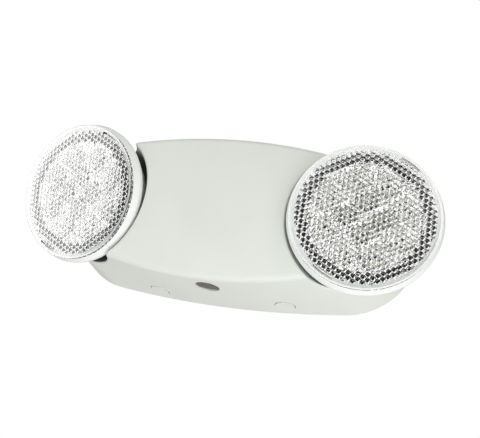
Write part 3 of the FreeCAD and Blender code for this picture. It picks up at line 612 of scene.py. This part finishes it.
def cell_field(sizes, back):
    """Tool that leaves six-sided cells with flat ends and sloping walls, trimmed to the round field."""
    bm = bmesh.new()
    shared = {}

    def vertex(x, z, w):
        """Vertex on the border between cells, which neighbours share."""
        key = (round(x * 1e6), round(z * 1e6))
        for near in ((a, b) for a in (0, -1, 1) for b in (0, -1, 1)):
            found = shared.get((key[0] + near[0], key[1] + near[1]))
            if found is not None:
                return found
        shared[key] = bm.verts.new((x, -w, z))
        return shared[key]

    turn = math.radians(ROW_TURN)
    low = back - CELL_AIR
    around = 12
    angles = [FULL * k / around + turn for k in range(around)]
    side, corner = sizes.pitch / 2, sizes.pitch / math.sqrt(3)
    for x, z in cell_places(sizes.pitch, sizes.field + 2 * sizes.pitch, turn):
        window = [bm.verts.new((x + sizes.window * math.cos(t), -low, z + sizes.window * math.sin(t)))
                  for t in angles]
        border = [vertex(x + reach * math.cos(t), z + reach * math.sin(t), low + sizes.cell_deep)
                  for t, reach in zip(angles, (side, corner) * (around // 2))]
        bm.faces.new(window)
        join_rings(bm, window, border)
    hang = 0.0015
    rim = [e for e in bm.edges if e.is_boundary]
    under = bmesh.ops.extrude_edge_only(bm, edges=rim)["geom"]
    for v in under:
        if isinstance(v, bmesh.types.BMVert):
            v.co.y = -(back - hang)
    edges = [e for e in under if isinstance(e, bmesh.types.BMEdge) and e.is_boundary]
    bmesh.ops.contextual_create(bm, geom=edges)
    cells = finish_mesh("cells", bm)
    edge = disc("field_edge", sizes.field, back - PAST, sizes.front, ROUND_STEPS)
    return cut("cell_field", cells, [edge], mode="INTERSECT")


def cell_places(pitch, reach, turn):
    """Centres of the cells: rows in a hexagonal lattice, turned with the lens slits."""
    count = int(reach / pitch) + 3
    for i in range(-count, count + 1):
        for j in range(-count, count + 1):
            x, z = pitch * (i + j / 2), pitch * j * math.sqrt(0.75)
            if math.hypot(x, z) < reach:
                yield x * math.cos(turn) - z * math.sin(turn), x * math.sin(turn) + z * math.cos(turn)


def arc_block(bm, radius, width, middle, span, low, high, steps=12):
    """Curved block along an arc."""
    columns = []
    for k in range(steps + 1):
        t = middle + span * (k / steps - 0.5)
        columns.append([bm.verts.new((r * math.cos(t), -w, r * math.sin(t)))
                        for r, w in ((radius - width / 2, low), (radius + width / 2, low),
                                     (radius + width / 2, high), (radius - width / 2, high))])
    for a, b in zip(columns, columns[1:]):
        join_rings(bm, a, b)
    bm.faces.new(columns[0])
    bm.faces.new(columns[-1][::-1])


def source_places():
    """Centre of each light source, and the radius of its dish's mouth."""
    for count, circle, first, mouth in SOURCE_CIRCLES:
        for i in range(count):
            t = math.radians(first + 360 / count * i)
            yield circle * math.cos(t), circle * math.sin(t), mouth


def dish_profile(mouth, levels=7):
    """Outline of the tool that cuts one parabolic dish, with a flare at its mouth."""
    past, below, lip, flare = 0.0001, 0.0006, 0.0005, 0.0012
    bend = (mouth ** 2 - DISH_FOOT ** 2) / (DISH_FRONT - DISH_FLOOR)
    heights = [DISH_FLOOR + (DISH_FRONT - lip - DISH_FLOOR) * k / levels for k in range(levels + 1)]
    return [(0, DISH_FLOOR - below), (DISH_FOOT, DISH_FLOOR - below),
            *((math.sqrt(DISH_FOOT ** 2 + bend * (w - DISH_FLOOR)), w) for w in heights),
            (mouth + flare, DISH_FRONT + past), (0, DISH_FRONT + past)]


def reflector_mesh(side):
    """The CAD reflector with a round plate in front and its straight cups deepened to faceted dishes."""
    into = head_matrix(side)
    bm = bmesh.new()
    bm.from_mesh(NODES[side + "_reflector"].data)
    bmesh.ops.remove_doubles(bm, verts=bm.verts, dist=1e-6)
    base = finish_mesh("reflector_base", bm, matrix=into.inverted())
    plate = disc("plate", PLATE_RADIUS, DISH_FRONT - PLATE_THICK, DISH_FRONT, 120)
    base = cut(side + "_plate", base, [plate], mode="UNION")
    dishes, outer = list(source_places()), SOURCE_CIRCLES[0][0]
    facets = 18
    tools = []
    # Neighbours on a circle overlap at the flare, so a tool holds every second dish
    for some in (dishes[:outer:2], dishes[1:outer:2], dishes[outer::2], dishes[outer + 1::2]):
        bm = bmesh.new()
        for x, z, mouth in some:
            lathe(bm, dish_profile(mouth), facets, (x, z))
        tools.append(finish_mesh("dishes", bm))
    made = cut(side + "_dishes", base, tools, 4.0)
    made.transform(into)
    return made


def source_mesh(side):
    """Light sources: square frames, and phosphor domes in material 1."""
    top = BOARD_FRONT + SOURCE_HIGH
    frame_top, edge = top - 0.0001, 0.00012
    bm = bmesh.new()
    for x, z, _ in source_places():
        block(bm, (x - SOURCE_HALF, -frame_top, z - SOURCE_HALF),
              (x + SOURCE_HALF, -BOARD_FRONT, z + SOURCE_HALF), edge)
        before = set(bm.faces)
        lathe(bm, [(radius, top + high) for radius, high in DOME_PROFILE], 20, (x, z))
        for f in set(bm.faces) - before:
            f.material_index = 1
    return finish_mesh("sources", bm, matrix=head_matrix(side))


def screw_mesh(name, places, radius, high, matrix):
    """Pan heads with a crossed recess; places are (x, z, w of the seat)."""
    heads, crosses = bmesh.new(), bmesh.new()
    outline = cross_outline(radius * 0.55, radius * 0.13)
    taper, bottom, past = 0.7, 0.45, 0.0004
    for x, z, w in places:
        crown = [(radius * a, w + high * b) for a, b in PAN_PROFILE]
        lathe(heads, [(0, w), (radius, w), *crown, (0, w + high)], 28, (x, z))
        top = -(w + high + past)
        low = -(w + high * bottom)
        lower = [crosses.verts.new((x + a * taper, low, z + b * taper)) for a, b in outline]
        upper = [crosses.verts.new((x + a, top, z + b)) for a, b in outline]
        join_rings(crosses, lower, upper)
        crosses.faces.new(lower[::-1])
        crosses.faces.new(upper)
    made = cut(name, finish_mesh(name + "_heads", heads), [finish_mesh(name + "_cross", crosses)])
    made.transform(matrix)
    return made


def cross_outline(reach, half):
    """Outline of a cross with straight arms."""
    return [(reach, -half), (reach, half), (half, half), (half, reach), (-half, reach), (-half, half),
            (-reach, half), (-reach, -half), (-half, -half), (-half, -reach), (half, -reach), (half, -half)]


def threaded_mesh(side, start, end):
    """Hollow stem with a rolled thread outside, along the socket's axis."""
    radius, bore, pitch, deep = 0.0050, 0.0032, 0.0010, 0.00045
    around, per_turn = 40, 6
    count = int((end - start) / pitch * per_turn)
    angles = [FULL * i / around for i in range(around)]
    bm = bmesh.new()
    rows = []
    for k in range(count + 1):
        y = start + (end - start) * k / count
        fade = min(1.0, min(y - start, end - y) / pitch)
        row = []
        for i, t in enumerate(angles):
            tooth = abs(2 * ((y / pitch - i / around) % 1.0) - 1)
            reach = radius - deep * fade * (1 - tooth)
            row.append(bm.verts.new((reach * math.cos(t), y, reach * math.sin(t))))
        rows.append(row)
    for y in (end, start):
        rows.append([bm.verts.new((bore * math.cos(t), y, bore * math.sin(t))) for t in angles])
    for a, b in zip(rows, rows[1:] + rows[:1]):
        join_rings(bm, a, b)
    return finish_mesh("stem", bm, 50.0, Matrix.Translation(JOINTS[side + "_turn"]["pos_m"]))


# Operators

class EMLIGHT_OT_stage(bpy.types.Operator):
    """Sets the camera, the soft lamps, the backdrop and the floor"""
    bl_idname = "emlight.stage"
    bl_label = "Stage"

    def execute(self, context):
        setting = context.scene.emlight_stage
        self.camera(context, setting)
        context.scene.view_settings.view_transform = "Standard"
        self.backdrop(context, setting)
        for name, place, width in LAMPS:
            self.lamp(context, name + "_lamp", place, width, getattr(setting, name))
        self.floor(context, setting)
        return {"FINISHED"}

    def camera(self, context, setting):
        """Camera at the photograph's angle, rolled with it."""
        azimuth, elevation, roll = (math.radians(a) for a in VIEW_ANGLES)
        side = Vector((math.cos(azimuth), math.sin(azimuth), 0))
        back = Vector((math.sin(azimuth) * math.cos(elevation), -math.cos(azimuth) * math.cos(elevation),
                       math.sin(elevation)))
        over = back.cross(side)
        right = side * math.cos(roll) + over * math.sin(roll)
        up = over * math.cos(roll) - side * math.sin(roll)
        camera = bpy.data.objects.new("camera", bpy.data.cameras.new("camera"))
        context.scene.collection.objects.link(camera)
        camera.data.sensor_width = 36.0
        camera.data.lens = setting.lens
        camera.data.clip_start, camera.data.clip_end = 0.01, 20.0
        place = Vector(VIEW_TARGET) + back * setting.distance
        camera.matrix_world = Matrix.Translation(place) @ Matrix((right, up, back)).transposed().to_4x4()
        context.scene.camera = camera

    def backdrop(self, context, setting):
        """World: white to the camera, soft light all round, a panel in gloss, lit and dim areas in glass."""
        world = bpy.data.worlds.new("backdrop")
        world.use_nodes = True
        tree = world.node_tree
        tree.nodes.clear()
        path = put(tree, "ShaderNodeLightPath").outputs
        toward = put(tree, "ShaderNodeTexCoord").outputs["Generated"]
        panel = spread(tree, along(tree, toward, PANEL_WAY), *PANEL_EDGE, setting.gloss, setting.panel)
        lower_left = spread(tree, along(tree, toward, LIT_WAY), *LIT_EDGE)
        patches = spread(tree, noise(tree, toward, PATCH_SCALE, 1.0), *PATCH_EDGE)
        lit = math_node(tree, "MAXIMUM", lower_left, patches)
        room = spread(tree, lit, 0.0, 1.0, setting.dim, setting.through)
        level = setting.ambient
        for ray, seen in (("Is Glossy Ray", panel), ("Is Transmission Ray", room), ("Is Camera Ray", 1.0)):
            level = put(tree, "ShaderNodeMix", {0: path[ray], 2: level, 3: seen}).outputs[0]
        light = put(tree, "ShaderNodeBackground", {"Color": (1, 1, 1), "Strength": level})
        out = put(tree, "ShaderNodeOutputWorld")
        tree.links.new(light.outputs[0], out.inputs["Surface"])
        context.scene.world = world

    def lamp(self, context, name, place, width, power):
        """Soft square lamp aimed at the housing."""
        lamp = bpy.data.lights.new(name, "AREA")
        lamp.shape, lamp.size, lamp.energy = "SQUARE", width, power
        shown = bpy.data.objects.new(name, lamp)
        context.scene.collection.objects.link(shown)
        shown.location = place
        shown.rotation_euler = (Vector(LAMP_TARGET) - Vector(place)).to_track_quat("-Z", "Y").to_euler()

    def floor(self, context, setting):
        """Plain pale floor below the light, with a softly rounded edge."""
        bm = bmesh.new()
        half, thick, edge = setting.floor_size / 2, 0.02, 0.005
        block(bm, (-half, -half, -setting.floor_drop - thick), (half, half, -setting.floor_drop), edge)
        mesh = finish_mesh("floor", bm)
        paint = material("floor_paint", moulded_effect,
                         {**tones(setting.floor, 0.98), "Cloud Scale": 2.0, "Grain Scale": 400.0,
                          "Smooth": 0.6, "Rough": 0.7})
        mesh.materials.append(paint)
        floor = bpy.data.objects.new("floor", mesh)
        context.scene.collection.objects.link(floor)


class EMLIGHT_OT_housing(bpy.types.Operator):
    """Finishes the housing cover, with painted shade in its sockets, and the back plate"""
    bl_idname = "emlight.housing"
    bl_label = "Housing"

    def execute(self, context):
        finish = context.scene.emlight_plastic
        cover = moulded("housing_plastic", finish.housing, finish, Specular_IOR_Level=0.45)
        tree = cover.node_tree
        # Painted shade: where the mask holds, the sockets' inner faces blend toward the dark socket colour
        mask = tree.nodes.new("ShaderNodeGroup")
        mask.node_tree = painted_socket_shade_effect()
        base = tree.nodes["Principled BSDF"].inputs["Base Color"]
        tone = base.links[0].from_socket
        tree.links.new(blend_colours(tree, mask.outputs["Mask"], tone, tuple(finish.socket)), base)
        dress(cover, "front_cover")
        dress(moulded("base_plastic", finish.base, finish, rough=0.5), "back_plate")
        return {"FINISHED"}


class EMLIGHT_OT_heads(bpy.types.Operator):
    """Finishes the ball-shaped lamp heads and their saddles"""
    bl_idname = "emlight.heads"
    bl_label = "Lamp Heads"

    def execute(self, context):
        finish = context.scene.emlight_plastic
        dress(moulded("head_plastic", finish.head, finish, rough=0.38), *(s + "_head" for s in SIDES))
        dress(moulded("saddle_plastic", finish.saddle, finish, rough=0.34), *(s + "_saddle" for s in SIDES))
        return {"FINISHED"}


class EMLIGHT_OT_lenses(bpy.types.Operator):
    """Builds the clear lenses with their six-sided cells"""
    bl_idname = "emlight.lenses"
    bl_label = "Lenses"

    def execute(self, context):
        clear = clear_plastic("clear_plastic")
        shape = lens_mesh(context.scene.emlight_lens)
        for side in SIDES:
            mesh = shape.copy()
            mesh.transform(head_matrix(side))
            piece(side + "_dimpled_lens", mesh, side + "_lamp", [clear], "clear_lens", side + "_lens")
        return {"FINISHED"}


class EMLIGHT_OT_optics(bpy.types.Operator):
    """Finishes the reflectors and lamp boards, and builds the light sources and their screws"""
    bl_idname = "emlight.optics"
    bl_label = "Optics"

    def execute(self, context):
        finish = context.scene.emlight_optics
        mirror = material("metallised", peened_effect,
                          {**tones(finish.silver, 0.9), "Scale": 1 / finish.dint},
                          bump=1.0, height=finish.dint_deep, Metallic=1.0)
        dress(board("lamp_board_mask", tuple(finish.mask), 1.6, linear(90, 90, 88), 110.0,
                    Specular_IOR_Level=0.15), *(s + "_led_board" for s in SIDES))
        ceramic = material("source_frame", moulded_effect,
                           {**tones(finish.ceramic, 0.94), "Cloud Scale": 300.0, "Grain Scale": 4000.0,
                            "Smooth": 0.3, "Rough": 0.4})
        phosphor = material("source_phosphor", moulded_effect,
                            {**tones(finish.phosphor, 0.8), "Cloud Scale": 900.0, "Grain Scale": 6000.0,
                             "Smooth": 0.25, "Rough": 0.45}, bump=0.2, height=0.00003)
        steel = plated("screw_zinc", linear(178, 180, 184))
        for side in SIDES:
            self.head(side, mirror, (ceramic, phosphor), steel)
        return {"FINISHED"}

    def head(self, side, mirror, source, steel):
        """Reflector, light sources and board screws of one lamp head."""
        body = side + "_lamp"
        piece(side + "_faceted_reflector", reflector_mesh(side), body, [mirror], "bright_reflector",
              side + "_reflector")
        piece(side + "_light_sources", source_mesh(side), body, source, "phosphor", side + "_leds")
        circle, radius, high = 0.0410, 0.0026, 0.0014
        out = circle / math.sqrt(2)
        places = [(a * out, b * out, BOARD_FRONT) for a in (-1, 1) for b in (-1, 1)]
        mesh = screw_mesh(side + "_screws", places, radius, high, head_matrix(side))
        piece(side + "_crossed_screws", mesh, body, [steel], "screw_steel", side + "_board_screws")


class EMLIGHT_OT_swivels(bpy.types.Operator):
    """Builds the threaded stems and finishes their nuts and spring washers"""
    bl_idname = "emlight.swivels"
    bl_label = "Swivels"

    def execute(self, context):
        zinc = plated("stem_zinc", linear(186, 188, 190), streak=(1.0, 0.1, 1.0), scale=900.0)
        spring = plated("spring_sheet", linear(160, 162, 166), smooth=0.15, rough=0.3)
        for side in SIDES:
            lo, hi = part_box(side + "_stem")
            mesh = threaded_mesh(side, lo.y - HEAD_Y, hi.y - HEAD_Y)
            piece(side + "_threaded_stem", mesh, "housing", [zinc], "plated_steel", side + "_stem")
            dress(zinc, side + "_inner_nut", side + "_outer_nut")
            dress(spring, side + "_spring_washer")
        return {"FINISHED"}


class EMLIGHT_OT_button(bpy.types.Operator):
    """Finishes the smoked test button, its rubber dome, the switch and the indicator"""
    bl_idname = "emlight.button"
    bl_label = "Test Button"

    def execute(self, context):
        finish = context.scene.emlight_plastic
        dress(moulded("smoked_plastic", finish.button, finish, rough=0.16, bump=0.05, change=0.8,
                      Coat_Weight=0.5, Coat_Roughness=0.05), "test_button")
        dress(moulded("boot_rubber", linear(196, 196, 192), finish, rough=0.6), "button_spring")
        dress(moulded("switch_plastic", linear(30, 30, 31), finish, rough=0.35), "test_switch")
        dress(moulded("indicator_plastic", linear(150, 24, 20), finish, rough=0.12, Coat_Weight=0.6),
              "indicator_led")
        return {"FINISHED"}


class EMLIGHT_OT_power(bpy.types.Operator):
    """Finishes the charger board, the battery pack and the transformer inside the housing"""
    bl_idname = "emlight.power"
    bl_label = "Power Parts"

    def execute(self, context):
        finish = context.scene.emlight_plastic
        dress(board("charger_mask", linear(30, 92, 52), 1.5, linear(190, 186, 170), 150.0), "circuit_board")
        dress(moulded("component_plastic", linear(36, 36, 40), finish, rough=0.3), "board_parts")
        dress(moulded("terminal_plastic", linear(54, 56, 58), finish, rough=0.4), "terminal_block")
        dress(film("battery_film", linear(40, 84, 150), (1.0, 0.25, 1.0), 120.0), "battery_pack")
        dress(film("winding_tape", linear(214, 178, 70), (0.3, 0.3, 2.0), 260.0), "transformer_winding")
        dress(film("lead_cover", linear(176, 30, 26), (1.0, 1.0, 0.2), 500.0, bump=0.1), "battery_leads")
        dress(plated("strap_zinc", linear(182, 184, 186), streak=(0.1, 1.0, 1.0)), "battery_strap")
        dress(plated("core_steel", linear(104, 106, 110), streak=(0.05, 3.0, 0.05), scale=900.0, smooth=0.4,
                     rough=0.6, bump=0.6), "transformer_core")
        steel = plated("clamp_zinc", linear(180, 182, 186))
        dress(steel, "terminal_screws")
        self.strap_screws(steel)
        return {"FINISHED"}

    def strap_screws(self, steel):
        """The strap's two screws, where the CAD ones stand."""
        lo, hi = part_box("strap_screws")
        middle = (lo + hi) / 2
        apart, radius, high = 0.081, 0.0030, 0.0020
        places = [(middle.x + sign * apart / 2, middle.z, -hi.y) for sign in (-1, 1)]
        mesh = screw_mesh("strap_pan", places, radius, high, Matrix.Identity(4))
        piece("strap_pan_screws", mesh, "housing", [steel], "screw_steel", "strap_screws")


class EMLIGHT_PT_tools(bpy.types.Panel):
    """Lists the settings and the steps"""
    bl_idname = "EMLIGHT_PT_tools"
    bl_label = "Emergency Light"
    bl_space_type = "VIEW_3D"
    bl_region_type = "UI"
    bl_category = "Emergency Light"

    def draw(self, context):
        for kind, attribute in SETTINGS:
            box = self.layout.box()
            box.label(text=kind.__doc__)
            for key in kind.__annotations__:
                box.prop(getattr(context.scene, attribute), key)
        for step in STEPS:
            self.layout.operator(step.bl_idname)


SETTINGS = ((PlasticFinish, "emlight_plastic"), (LensSizes, "emlight_lens"),
            (OpticsFinish, "emlight_optics"), (StageSettings, "emlight_stage"))
STEPS = (EMLIGHT_OT_stage, EMLIGHT_OT_housing, EMLIGHT_OT_heads, EMLIGHT_OT_lenses, EMLIGHT_OT_optics,
         EMLIGHT_OT_swivels, EMLIGHT_OT_button, EMLIGHT_OT_power)


def register():
    """Registers the settings, the steps and the panel."""
    for kind, attribute in SETTINGS:
        bpy.utils.register_class(kind)
        setattr(bpy.types.Scene, attribute, PointerProperty(type=kind))
    for kind in (*STEPS, EMLIGHT_PT_tools):
        bpy.utils.register_class(kind)


def unregister():
    """Takes away what register added."""
    for kind in (EMLIGHT_PT_tools, *STEPS[::-1]):
        bpy.utils.unregister_class(kind)
    for kind, attribute in SETTINGS[::-1]:
        delattr(bpy.types.Scene, attribute)
        bpy.utils.unregister_class(kind)


def main():
    """Runs every step in order."""
    register()
    for step in STEPS:
        getattr(bpy.ops.emlight, step.bl_idname.split(".")[1])()


if __name__ == "__main__":
    main()
